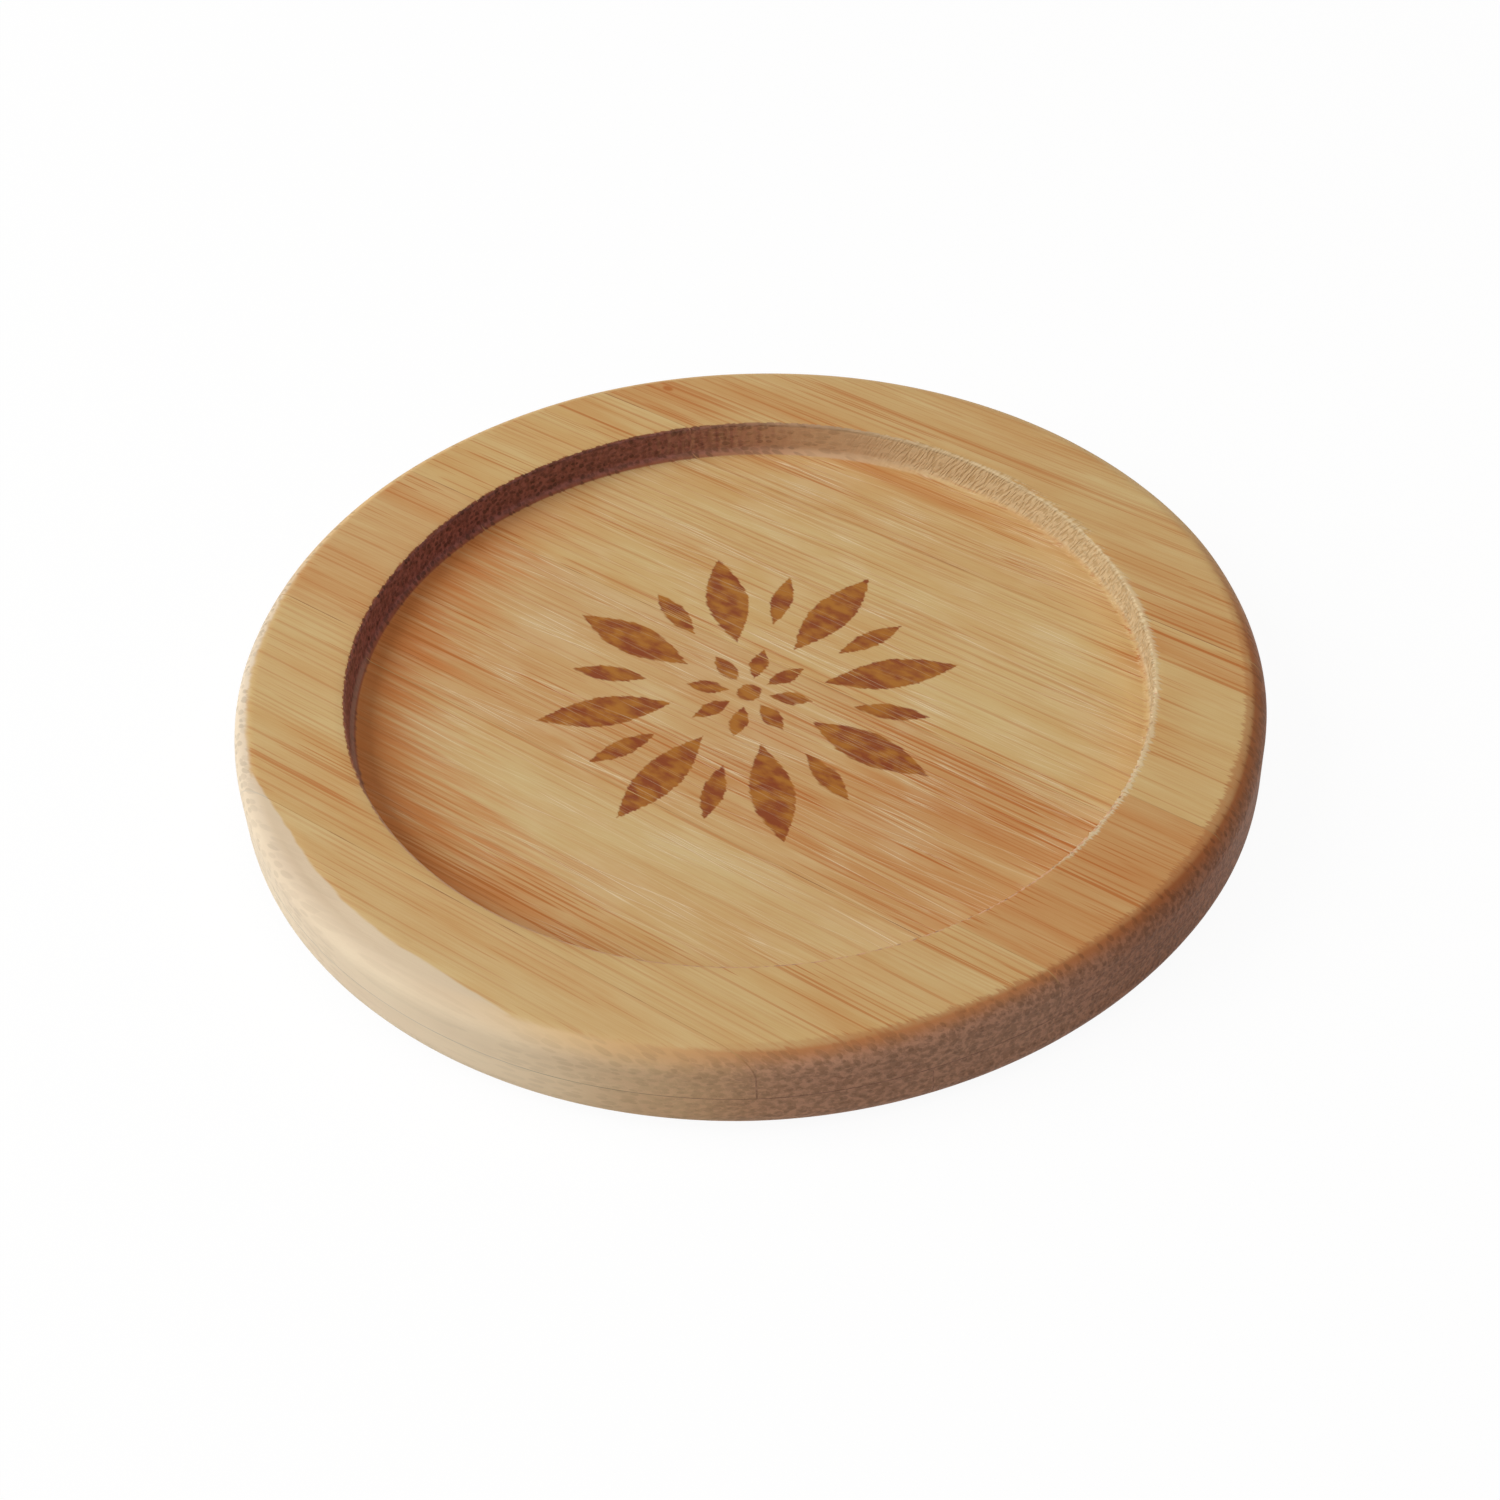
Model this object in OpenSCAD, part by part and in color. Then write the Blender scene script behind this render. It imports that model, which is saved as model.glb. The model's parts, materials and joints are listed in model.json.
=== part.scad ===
// Round bamboo drink coaster: two plies of flat strips, glued edge to edge and
// face to face, turned to a disc and recessed on top for the foot of a cup.
// Lengths are in millimetres. The origin is the centre of the underside, Z is up,
// X runs along the grain and Y runs across the strips.

/* [Board] */
// Outer diameter of the disc
disc_d = 100; // [94:1:110]
// Thickness of the upper ply, which holds the recess
top_ply_t = 4.7; // [4.5:0.1:6]
// Thickness of the lower ply, which stands on the table
base_ply_t = 4.7; // [4:0.1:6]
// Thickness of the glue between the two plies
ply_glue_t = 0.1; // [0.06:0.02:0.2]
// Radius of the rounding round the upper outer edge
rim_round_r = 2.2; // [1:0.1:3]
// Radius of the rounding round the lower outer edge
base_round_r = 2.8; // [1:0.1:3.5]

/* [Recess] */
// Width of the rim, from the outer edge of the disc to the recess wall
rim_w = 10.9; // [8:0.1:15]
// Depth of the recess floor below the rim
recess_depth = 3.75; // [2:0.05:4]
// Radius of the fillet where the floor turns up into the wall
floor_fillet_r = 0.8; // [0.2:0.1:1.2]
// Width of the small chamfer that breaks the edge between the recess wall and the rim
arris_w = 0.35; // [0.1:0.05:0.6]

/* [Strips] */
// Width of the upper ply's first strip, from the +Y edge of the disc to its seam
top_first_w = 22.5; // [18:0.5:26]
// Width of the upper ply's last strip, from its seam to the -Y edge of the disc
top_last_w = 10; // [6:0.5:16]
// Width of the lower ply's first strip, half a strip over from the upper ply's
base_first_w = 11.25; // [6:0.25:16]
// Width of the lower ply's last strip
base_last_w = 21.25; // [17:0.25:25]
// Thickness of the glue in the seam between two strips
seam_glue_t = 0.1; // [0.06:0.02:0.2]

/* [Hidden] */
$fn = 96;

// Strips in each ply, counted from the +Y side
strip_count = 5;
// Widths of each ply's first and last strip
top_edge_ws = [top_first_w, top_last_w];
base_edge_ws = [base_first_w, base_last_w];
// Overrun of every cut and slab past the solid that it crosses
cut_over = 1;

disc_r = disc_d / 2;
recess_r = disc_r - rim_w;
top_ply_z = base_ply_t + ply_glue_t;
disc_t = top_ply_z + top_ply_t;
recess_floor_z = disc_t - recess_depth;

// Colours of the strips in each ply, from the +Y side, and of the glue
TOP_TONES = [
    [0.74, 0.57, 0.36], [0.80, 0.66, 0.44], [0.69, 0.48, 0.30], [0.78, 0.62, 0.40],
    [0.80, 0.65, 0.43]
];
BASE_TONES = [
    [0.76, 0.60, 0.40], [0.70, 0.52, 0.34], [0.78, 0.63, 0.42], [0.72, 0.55, 0.36],
    [0.77, 0.61, 0.41]
];
GLUE_TONE = [0.40, 0.22, 0.12];

// Width of each strip between a ply's first and last, which share what these leave
function inner_strip_w(edge_ws) = (disc_d - edge_ws[0] - edge_ws[1]) / (strip_count - 2);

// Y of a ply's seam k, the seam between its strips k and k + 1
function seam_place(k, edge_ws) = disc_r - edge_ws[0] - inner_strip_w(edge_ws) * (k - 1);

// Y of the two sides of strip i, where the outermost strips run past the disc
function strip_far_y(i, edge_ws) = i == 1
    ? disc_r + cut_over
    : seam_place(i - 1, edge_ws) - seam_glue_t / 2;
function strip_near_y(i, edge_ws) = i == strip_count
    ? -disc_r - cut_over
    : seam_place(i, edge_ws) + seam_glue_t / 2;

// What a rounding of radius r leaves outside it in the +X +Y corner, with the
// centre of the rounding at the origin
module corner_waste(r) {
    difference() {
        square(r + cut_over);
        circle(r);
    }
}

// Half section of the recess, with the fillet left standing at its floor
module recess_section() {
    difference() {
        translate([0, recess_floor_z])
            square([recess_r, recess_depth + cut_over]);
        translate([recess_r - floor_fillet_r, recess_floor_z + floor_fillet_r])
            mirror([0, 1])
                corner_waste(floor_fillet_r);
    }
}

// Half section of the finished board
module board_section() {
    difference() {
        square([disc_r, disc_t]);
        translate([disc_r - rim_round_r, disc_t - rim_round_r])
            corner_waste(rim_round_r);
        translate([disc_r - base_round_r, base_round_r])
            mirror([0, 1])
                corner_waste(base_round_r);
        polygon([
            [recess_r - cut_over, disc_t + cut_over],
            [recess_r - cut_over, disc_t - arris_w - cut_over],
            [recess_r + arris_w + cut_over, disc_t + cut_over]
        ]);
        recess_section();
    }
}

// The part of the finished board between two heights and two places across it
module board_piece(near_y, far_y, low_z, high_z) {
    intersection() {
        rotate_extrude()
            board_section();
        translate([-disc_r - cut_over, near_y, low_z])
            cube([disc_d + 2 * cut_over, far_y - near_y, high_z - low_z]);
    }
}

// Glue between the strips of one ply, as tall as the ply
module seam_glue(edge_ws, low_z, high_z) {
    for (k = [1 : strip_count - 1]) {
        middle_y = seam_place(k, edge_ws);
        board_piece(middle_y - seam_glue_t / 2, middle_y + seam_glue_t / 2, low_z, high_z);
    }
}

module top_strip(i) {
    color(TOP_TONES[i - 1])
        board_piece(strip_near_y(i, top_edge_ws), strip_far_y(i, top_edge_ws),
                    top_ply_z, disc_t);
}

module base_strip(i) {
    color(BASE_TONES[i - 1])
        board_piece(strip_near_y(i, base_edge_ws), strip_far_y(i, base_edge_ws),
                    0, base_ply_t);
}

module ply_glue_layer() {
    color(GLUE_TONE)
        board_piece(-disc_r - cut_over, disc_r + cut_over, base_ply_t, top_ply_z);
}

module top_seam_glue() {
    color(GLUE_TONE)
        seam_glue(top_edge_ws, top_ply_z, disc_t);
}

module base_seam_glue() {
    color(GLUE_TONE)
        seam_glue(base_edge_ws, 0, base_ply_t);
}

top_strip(1);  // top_strip_1
top_strip(2);  // top_strip_2
top_strip(3);  // top_strip_3
top_strip(4);  // top_strip_4
top_strip(5);  // top_strip_5
base_strip(1);  // base_strip_1
base_strip(2);  // base_strip_2
base_strip(3);  // base_strip_3
base_strip(4);  // base_strip_4
base_strip(5);  // base_strip_5
ply_glue_layer();
top_seam_glue();
base_seam_glue();
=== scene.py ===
# %% [markdown]
# A round drink coaster, turned from a board of laminated bamboo: two plies of flat
# strips, glued edge to edge and face to face, with a shallow recess for a cup.
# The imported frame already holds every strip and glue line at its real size. It gives
# the places, and this lesson makes the wood: turned edges, torn fibres and grain.

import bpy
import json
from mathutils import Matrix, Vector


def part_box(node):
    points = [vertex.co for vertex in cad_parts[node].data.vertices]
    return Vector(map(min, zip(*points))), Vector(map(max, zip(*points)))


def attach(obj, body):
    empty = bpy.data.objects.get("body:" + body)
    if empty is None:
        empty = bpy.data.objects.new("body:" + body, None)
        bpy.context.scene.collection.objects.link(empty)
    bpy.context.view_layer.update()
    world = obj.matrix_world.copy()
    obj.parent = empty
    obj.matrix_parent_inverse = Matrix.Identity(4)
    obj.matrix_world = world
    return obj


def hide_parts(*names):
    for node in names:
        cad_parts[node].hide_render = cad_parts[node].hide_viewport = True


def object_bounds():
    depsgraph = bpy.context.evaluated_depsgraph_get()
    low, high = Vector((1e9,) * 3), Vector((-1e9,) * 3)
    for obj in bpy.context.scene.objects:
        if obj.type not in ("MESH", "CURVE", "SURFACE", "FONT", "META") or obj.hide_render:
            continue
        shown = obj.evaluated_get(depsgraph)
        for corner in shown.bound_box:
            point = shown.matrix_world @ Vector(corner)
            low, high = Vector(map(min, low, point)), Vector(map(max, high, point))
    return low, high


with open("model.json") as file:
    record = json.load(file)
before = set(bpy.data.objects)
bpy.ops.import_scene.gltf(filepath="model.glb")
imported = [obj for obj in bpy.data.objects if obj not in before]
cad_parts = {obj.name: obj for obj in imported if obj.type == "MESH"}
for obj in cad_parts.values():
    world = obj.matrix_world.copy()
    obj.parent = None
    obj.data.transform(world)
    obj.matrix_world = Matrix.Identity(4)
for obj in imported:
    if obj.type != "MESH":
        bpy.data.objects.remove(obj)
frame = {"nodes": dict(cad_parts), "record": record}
CAD_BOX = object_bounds()
print("Frame:", len(frame["nodes"]), "nodes in a box of", [round(side, 4) for side in CAD_BOX[1]])

# %% [markdown]
# All sizes come from the frame: the disc from its box, the plies and seams from the
# boxes of their nodes, and the recess from the mounts in the record. Only what the
# frame can't say is a value here, such as the radius of each rounding.

# %% Read the sizes from the frame
import json
import math
from types import SimpleNamespace

import bmesh
import bpy
from mathutils import Matrix, Vector

MM = 0.001
MOUNTS = {mount["name"]: mount for mount in frame["record"]["mounts"]}
DISC_R = CAD_BOX[1].x
DISC_T = CAD_BOX[1].z
RECESS_R = MOUNTS["cup_recess"]["dims"]["r_mm"] * MM
FLOOR_Z = MOUNTS["cup_seat"]["pos_m"][2]
GLUE_LOW_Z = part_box("ply_glue_layer")[0].z
GLUE_HIGH_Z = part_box("ply_glue_layer")[1].z
PLY_STRIPS = 5
print("Disc radius", round(DISC_R, 4), "recess radius", round(RECESS_R, 4), "floor at", FLOOR_Z)

# %% [markdown]
# Operators work on whatever is selected, and the loaded frame is selected at first.
# So each piece is made the only selected object before it is worked on, and inside
# edit mode its faces or edges are picked by where they lie.

# %% Pick what an operator works on
NEAR = 0.02 * MM


def take_up(*things):
    """Makes these objects the selected ones, and the first of them the active one."""
    bpy.ops.object.select_all(action="DESELECT")
    for thing in things:
        thing.select_set(True)
    bpy.context.view_layer.objects.active = things[0]


def pick(kind, test):
    """Selects the vertices, edges or faces of the edited mesh that pass the test."""
    bpy.ops.mesh.select_all(action="DESELECT")
    bpy.ops.mesh.select_mode(type=kind)
    edited = bmesh.from_edit_mesh(bpy.context.object.data)
    parts = {"VERT": edited.verts, "EDGE": edited.edges, "FACE": edited.faces}[kind]
    found = [part for part in parts if test(part)]
    for part in found:
        part.select_set(True)
    bmesh.update_edit_mesh(bpy.context.object.data)
    return len(found)


def on_ring(edge, radius, height):
    """Whether both ends of an edge lie on the circle of this radius and height."""
    return all(abs(end.co.xy.length - radius) < NEAR and abs(end.co.z - height) < NEAR
               for end in edge.verts)


print("Points are matched to within", NEAR, "m")

# %% [markdown]
# The real coaster is sawn from a flat board and turned, so the strips share one
# shape. It is modelled the same way: one whole disc, with its recess and roundings,
# that is cut into strips later. A cylinder with many sides is the blank. Its top is
# inset by the width of the rim and pushed down to the recess floor.

# %% Turn the blank and its recess
TURN_STEPS = 1600
FACES_UP = 0.9

bpy.ops.object.select_all(action="DESELECT")
bpy.ops.mesh.primitive_cylinder_add(
    vertices=TURN_STEPS, radius=DISC_R, depth=DISC_T, location=(0, 0, DISC_T / 2))
board = bpy.context.object
board.name = "turned_board"
bpy.ops.object.transform_apply(location=True)
bpy.ops.object.mode_set(mode="EDIT")
pick("FACE", lambda face: face.normal.z > FACES_UP)
bpy.ops.mesh.inset(thickness=DISC_R - RECESS_R)
bpy.ops.mesh.extrude_region_move(TRANSFORM_OT_translate={"value": (0, 0, FLOOR_Z - DISC_T)})
print("Blank:", len(bmesh.from_edit_mesh(board.data).faces), "faces")

# %% [markdown]
# Sandpaper rounds the outer edges, the cutter leaves a fillet at the foot of the
# recess wall, and a light touch breaks its upper edge. Four bevels make them. A bevel
# with an offset equal to the radius and many segments is a quarter circle.

# %% Round the edges
RIM_ROUND_R = 2.2 * MM
BASE_ROUND_R = 2.8 * MM
FLOOR_FILLET_R = 0.8 * MM
ARRIS_W = 0.35 * MM

for ring_r, ring_z, round_r, segments in (
        (DISC_R, DISC_T, RIM_ROUND_R, 12),
        (DISC_R, 0, BASE_ROUND_R, 12),
        (RECESS_R, FLOOR_Z, FLOOR_FILLET_R, 8),
        (RECESS_R, DISC_T, ARRIS_W, 3)):
    count = pick("EDGE", lambda edge: on_ring(edge, ring_r, ring_z))
    bpy.ops.mesh.bevel(offset=round_r, segments=segments, profile=0.5, affect="EDGES",
                       clamp_overlap=False)
    print("Rounded", count, "edges at radius", round(ring_r, 4), "height", round(ring_z, 4))

# %% [markdown]
# Fibres tear out and sandpaper wanders, so the flat rim and both walls need points
# to move. Long edges that run across the rim or up a wall are subdivided, which adds
# rings. The two round end faces get one more ring inside their edge, so that the
# shading of the rounding stops there.

# %% Add rings to the rim, the walls and the end faces
RIM_CUTS = 9
WALL_CUTS = 7
RECESS_CUTS = 9
HOLD_W = 1 * MM
LEAST_ACROSS = 5 * MM
LEAST_UP = 1 * MM


def runs_across(edge):
    """Whether an edge is a long one across the rim."""
    inner, outer = sorted(end.co.xy.length for end in edge.verts)
    low_z = min(end.co.z for end in edge.verts)
    return outer - inner > LEAST_ACROSS and low_z > DISC_T - NEAR


def runs_up(edge, radius):
    """Whether an edge is a long upright one on the wall of this radius."""
    return (abs(edge.verts[0].co.z - edge.verts[1].co.z) > LEAST_UP
            and all(abs(end.co.xy.length - radius) < NEAR for end in edge.verts))


for test, cuts in (
        (runs_across, RIM_CUTS),
        (lambda edge: runs_up(edge, DISC_R), WALL_CUTS),
        (lambda edge: runs_up(edge, RECESS_R), RECESS_CUTS)):
    count = pick("EDGE", test)
    bpy.ops.mesh.subdivide(number_cuts=cuts)
    print("Subdivided", count, "edges")
pick("FACE", lambda face: len(face.verts) > TURN_STEPS / 2)
bpy.ops.mesh.inset(thickness=HOLD_W, use_individual=True)
bpy.ops.object.mode_set(mode="OBJECT")
print("Board:", len(board.data.polygons), "faces")

# %% [markdown]
# Torn fibres, a furry wall and a hand-sanded edge are all small moves of the surface.
# They could be sculpted, but a Displace modifier does it by rule: noise says how far
# each point goes, and an Empty, squeezed or stretched, gives the noise its size in each
# direction. A vertex group says how much each point is moved.

# %% Move points by noise
LEAST_WEIGHT = 0.001


def group_by(name, weigh):
    """A vertex group of the board whose weights come from each vertex's place."""
    group = board.vertex_groups.new(name=name)
    for vertex in board.data.vertices:
        weight = weigh(vertex.co)
        if weight > LEAST_WEIGHT:
            group.add([vertex.index], min(weight, 1), "REPLACE")
    return group


def displace(group, direction, strength, sizes, depth=1, mid_level=0.5):
    """Moves the group's vertices along an axis, or out, by noise of these cell sizes."""
    noise = bpy.data.textures.new(group.name, "CLOUDS")
    noise.noise_scale = 1
    noise.noise_depth = depth
    bpy.ops.object.empty_add()
    gauge = bpy.context.object
    gauge.scale = sizes
    take_up(board)
    push = board.modifiers.new(group.name, "DISPLACE")
    push.texture = noise
    push.texture_coords = "OBJECT"
    push.texture_coords_object = gauge
    push.direction = direction
    push.vertex_group = group.name
    push.strength = strength
    push.mid_level = mid_level
    bpy.context.view_layer.update()
    bpy.ops.object.modifier_apply(modifier=push.name)
    bpy.data.objects.remove(gauge)
    bpy.data.textures.remove(noise)


print("Board has", len(board.data.vertices), "points to move")

# %% [markdown]
# Where the recess wall cuts across the fibres, the cutter leaves their ends torn. The
# wall's upper edge is pushed along the grain, outwards, by a noise that is fine across
# the grain. The tears are longer on the side where the cutter lifted the fibres than
# where it laid them over, so each side has a reach of its own.

# %% Tear the fibres at the edge of the recess
FIBRE_W = 0.3 * MM
FIBRE_LONG = 40 * MM
TEAR_REACHES = {1: 1.1 * MM, -1: 0.5 * MM}
TEAR_LEVEL = 0.45
TORN_W = ARRIS_W + 2 * MM
TORN_DEPTH = 1.2 * ARRIS_W
TORN_SIDE = math.radians(58)
LEAST_TORN = 0.3
TORN_FADE = 3
SQUARENESS = 1.5


def cross_cut(place):
    """1 where a round wall cuts square across the grain, and 0 where it runs along it."""
    return (abs(place.x) / max(place.xy.length, NEAR)) ** SQUARENESS


def torn_edge(place, side):
    """How much the tearing takes hold at a place, on the +X side or the -X side."""
    past = (place.xy.length - RECESS_R) / TORN_W
    if place.x * side < 0 or not -0.01 < past < 1 or place.z < DISC_T - TORN_DEPTH:
        return 0
    to_torn_side = math.cos(math.atan2(place.y, place.x) - TORN_SIDE)
    share = cross_cut(place) * (1 - past) ** TORN_FADE
    return share * max(to_torn_side * side, LEAST_TORN)


for side, reach in TEAR_REACHES.items():
    displace(group_by("torn_edge", lambda place: torn_edge(place, side)), "X",
             side * reach, (FIBRE_LONG, FIBRE_W, FIBRE_W), depth=2, mid_level=TEAR_LEVEL)
print("Fibres", FIBRE_W, "wide, torn up to", TEAR_REACHES[1] / 2)

# %% [markdown]
# Below its torn edge the recess wall is furry, again where it cuts across the grain.
# The same push along the grain makes the fur, with a noise as tall as a few fibres. It
# fades out over the fillet, so the floor keeps its round edge.

# %% Roughen the recess wall
WALL_BITE = 0.2 * MM
BITE_TALL = 2 * MM
FOOT_H = 0.1 * MM
OFF_WALL = 0.4 * MM


def furry_wall(place):
    """The upright part of the recess wall, on the cross-cut sides."""
    off_wall = abs(place.xy.length - RECESS_R)
    if off_wall > OFF_WALL or not FLOOR_Z + FOOT_H < place.z < DISC_T - ARRIS_W:
        return 0
    return cross_cut(place) * min((place.z - FLOOR_Z) / MM, 1)


displace(group_by("furry_wall", furry_wall), "X", WALL_BITE,
         (FIBRE_LONG, FIBRE_W, BITE_TALL), depth=2)
print("Wall roughened by", WALL_BITE / 2, "to either side")

# %% [markdown]
# The outer wall was sanded by hand on a belt, so it is never a perfect circle. A slow
# swell, pushed in and out along the normals, makes it a little uneven without leaving
# facets. It fades out over the two roundings.

# %% Sand the outer wall
SWELL = 0.25 * MM
SWELL_LONG = 22 * MM


def sanded_wall(place):
    """The outer wall, fading out over both roundings."""
    out = (place.xy.length - DISC_R + RIM_ROUND_R) / RIM_ROUND_R
    return max(out, 0) * min(place.z / BASE_ROUND_R, 1)


displace(group_by("sanded_wall", sanded_wall), "NORMAL", SWELL, (SWELL_LONG,) * 3)
print("Outer wall wanders by", SWELL / 2, "to either side")

# %% [markdown]
# In two places the hand stayed too long on the belt: on one side the wall is flatter,
# and on another the rim slopes off early. With no texture, the modifier moves each
# point by its weight alone, so a formula for the weight gives the whole shape. After
# that the weights have done their work and are cleared.

# %% Sand two places too far
FLAT_SIDE = math.radians(-22)
FLAT_SPREAD = math.radians(34)
FLAT_DEPTH = 0.6 * MM
SLOPED_SIDE = math.radians(257)
SLOPED_SPREAD = math.radians(27)
SLOPED_W = 0.8 * MM
SLOPED_DEPTH = 0.38 * MM


def near_bearing(place, bearing, spread):
    """1 at a bearing from the axis, falling softly to 0 at a spread to either side."""
    off = math.atan2(place.y, place.x) - bearing
    aside = abs(math.remainder(off, 2 * math.pi))
    return max(math.cos(min(aside / spread, 1) * math.pi / 2), 0) ** 2


def flattened(place):
    """The outer wall where it was held against the belt too long."""
    return sanded_wall(place) * near_bearing(place, FLAT_SIDE, FLAT_SPREAD)


def sloped_rim(place):
    """The edge of the rim where it was sanded down, and the rounding below it."""
    out = (place.xy.length - DISC_R + RIM_ROUND_R + SLOPED_W) / SLOPED_W
    up = (place.z - GLUE_HIGH_Z) / (DISC_T - GLUE_HIGH_Z)
    return min(max(out, 0), 1) * max(up, 0) * near_bearing(place, SLOPED_SIDE, SLOPED_SPREAD)


def press(name, weigh, direction, depth):
    """Moves the board's surface back by a depth times each vertex's weight."""
    take_up(board)
    group = group_by(name, weigh)
    push = board.modifiers.new(name, "DISPLACE")
    push.direction = direction
    push.vertex_group = group.name
    push.strength = -depth
    push.mid_level = 0
    bpy.ops.object.modifier_apply(modifier=push.name)


press("flattened", flattened, "NORMAL", FLAT_DEPTH)
press("sloped_rim", sloped_rim, "Z", SLOPED_DEPTH)
board.vertex_groups.clear()
print("Board's radius after sanding:", round(board.dimensions.x / 2, 5))

# %% [markdown]
# Now the saw: every strip and glue line is a slice of the board, between the same
# planes as its node in the frame. Separate solids could be built instead, but slices
# of one board meet face to face. Bisect cuts a copy of the board, clears one side and
# fills the cut with a new face, so each slice is a closed solid.

# %% Set up the saw
def sliced(source, name, *cuts):
    """A copy of the source that keeps what lies behind each cut's plane."""
    take_up(source)
    bpy.ops.object.duplicate()
    piece = bpy.context.object
    piece.name = name
    piece.data.name = name
    bpy.ops.object.mode_set(mode="EDIT")
    for place, normal in cuts:
        bpy.ops.mesh.select_all(action="SELECT")
        bpy.ops.mesh.bisect(plane_co=place, plane_no=normal, use_fill=True,
                            clear_outer=True, threshold=1e-7)
    bpy.ops.object.mode_set(mode="OBJECT")
    return piece


def cut_above(height):
    return (0, 0, height), (0, 0, 1)


def cut_below(height):
    return (0, 0, height), (0, 0, -1)


def cuts_beside(near_y, far_y):
    """The cuts on both sides of a strip, but none past the edge of the disc."""
    cuts = []
    if near_y > -DISC_R + MM:
        cuts.append(((0, near_y, 0), (0, -1, 0)))
    if far_y < DISC_R - MM:
        cuts.append(((0, far_y, 0), (0, 1, 0)))
    return cuts


print("Saw ready for a board of", len(board.data.polygons), "faces")

# %% [markdown]
# The two plies are cut first, because a strip is then cut from fewer points. Beside
# each strip the frame says where its seams are, and the glue in the seams is cut from
# the same ply. The glue between the plies is a slice of the whole board.

# %% Slice the board
plies = {
    "top": sliced(board, "top_ply", cut_below(GLUE_HIGH_Z)),
    "base": sliced(board, "base_ply", cut_above(GLUE_LOW_Z)),
}
pieces = {
    "ply_glue_layer": sliced(board, "bonded_plies", cut_above(GLUE_HIGH_Z), cut_below(GLUE_LOW_Z)),
}
bpy.data.objects.remove(board)
for ply, stock in plies.items():
    sides = {}
    for number in range(1, PLY_STRIPS + 1):
        node = f"{ply}_strip_{number}"
        low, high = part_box(node)
        sides[number] = (low.y, high.y)
        pieces[node] = sliced(stock, f"sawn_{node}", *cuts_beside(low.y, high.y))
    seams = []
    for number in range(1, PLY_STRIPS):
        between = cuts_beside(sides[number + 1][1], sides[number][0])
        seams.append(sliced(stock, f"{ply}_seam_{number}", *between))
    take_up(*seams)
    bpy.ops.object.join()
    seams[0].name = f"squeezed_{ply}_seams"
    pieces[f"{ply}_seam_glue"] = seams[0]
    bpy.data.objects.remove(stock)
face_count = sum(len(piece.data.polygons) for piece in pieces.values())
print("Sliced", len(pieces), "pieces,", face_count, "faces")

# %% [markdown]
# Each slice rides on the frame's one body and hides the node that it stands for. The shading is
# smooth, but not over the sharp edges that the saw left.

# %% Fit the slices to the frame
SHARP = math.radians(30)

for node, piece in pieces.items():
    take_up(piece)
    bpy.ops.object.shade_smooth_by_angle(angle=SHARP)
    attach(piece, "root")
    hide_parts(node)
    loose = bmesh.new()
    loose.from_mesh(piece.data)
    open_edges = sum(not edge.is_manifold for edge in loose.edges)
    loose.free()
    print(piece.name, len(piece.data.polygons), "faces,", open_edges, "open edges")

# %% [markdown]
# The finish is a pattern in space, so that a streak on top goes on as a dot on the
# wall. The maths behind it is easier to read as sums than as boxes and wires. This
# class wraps a socket, and a sum on it adds the Math node that does the sum.

# %% Write node maths as sums
class Wire:
    """One value, vector or colour in a material's node tree."""

    def __init__(self, tree, socket=None):
        self.tree = tree
        self.socket = socket

    def node(self, kind, settings=None, sockets=None, outlet=0):
        """Adds a node of any kind, sets it up, feeds its sockets and gives an outlet."""
        made = self.tree.nodes.new(kind)
        for name, setting in (settings or {}).items():
            setattr(made, name, setting)
        for name, feed in (sockets or {}).items():
            if isinstance(feed, Wire):
                self.tree.links.new(feed.socket, made.inputs[name])
            else:
                made.inputs[name].default_value = feed
        return Wire(self.tree, made.outputs[outlet])

    def math(self, operation, *feeds):
        return self.node("ShaderNodeMath", {"operation": operation}, dict(enumerate(feeds)))

    def __add__(self, other):
        return self.math("ADD", self, other)

    def __sub__(self, other):
        return self.math("SUBTRACT", self, other)

    def __mul__(self, other):
        return self.math("MULTIPLY", self, other)

    def __truediv__(self, other):
        return self.math("DIVIDE", self, other)

    def __pow__(self, other):
        return self.math("POWER", self, other)

    def __rsub__(self, other):
        return self.math("SUBTRACT", other, self)

    def __rtruediv__(self, other):
        return self.math("DIVIDE", other, self)

    __radd__ = __add__
    __rmul__ = __mul__

    def least(self, other):
        return self.math("MINIMUM", self, other)

    def most(self, other):
        return self.math("MAXIMUM", self, other)

    def size(self):
        return self.math("ABSOLUTE", self)

    def step(self, start, end):
        """0 before start, 1 after end and a smooth rise between. It falls if end is less."""
        return self.node("ShaderNodeMapRange", {"interpolation_type": "SMOOTHSTEP"},
                         {0: self, 1: start, 2: end, 3: 0.0, 4: 1.0})

    def blend(self, low, high):
        """The colour between two, with this value as the share of the second."""
        feeds = [(*feed, 1) if isinstance(feed, tuple) else feed for feed in (low, high)]
        return self.node("ShaderNodeMix", {"data_type": "RGBA"},
                         {0: self, 6: feeds[0], 7: feeds[1]}, outlet=2)

    def shaded(self, share):
        """A colour made darker or lighter by a number."""
        return self.node("ShaderNodeVectorMath", {"operation": "SCALE"}, {0: self, "Scale": share})

    def tinted(self, tint):
        """A colour with each of its channels made darker or lighter."""
        return self.node("ShaderNodeVectorMath", {"operation": "MULTIPLY"}, {0: self, 1: tint})

    def parts(self):
        """The three numbers of a vector."""
        self.node("ShaderNodeSeparateXYZ", None, {0: self})
        made = self.tree.nodes[-1]
        return [Wire(self.tree, outlet) for outlet in made.outputs]


def new_finish(name):
    """An empty material, the start of its tree and its shader."""
    finish = bpy.data.materials.new(name)
    finish.use_nodes = True
    tree = finish.node_tree
    return finish, Wire(tree), tree.nodes["Principled BSDF"]


print("Node maths ready")

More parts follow.
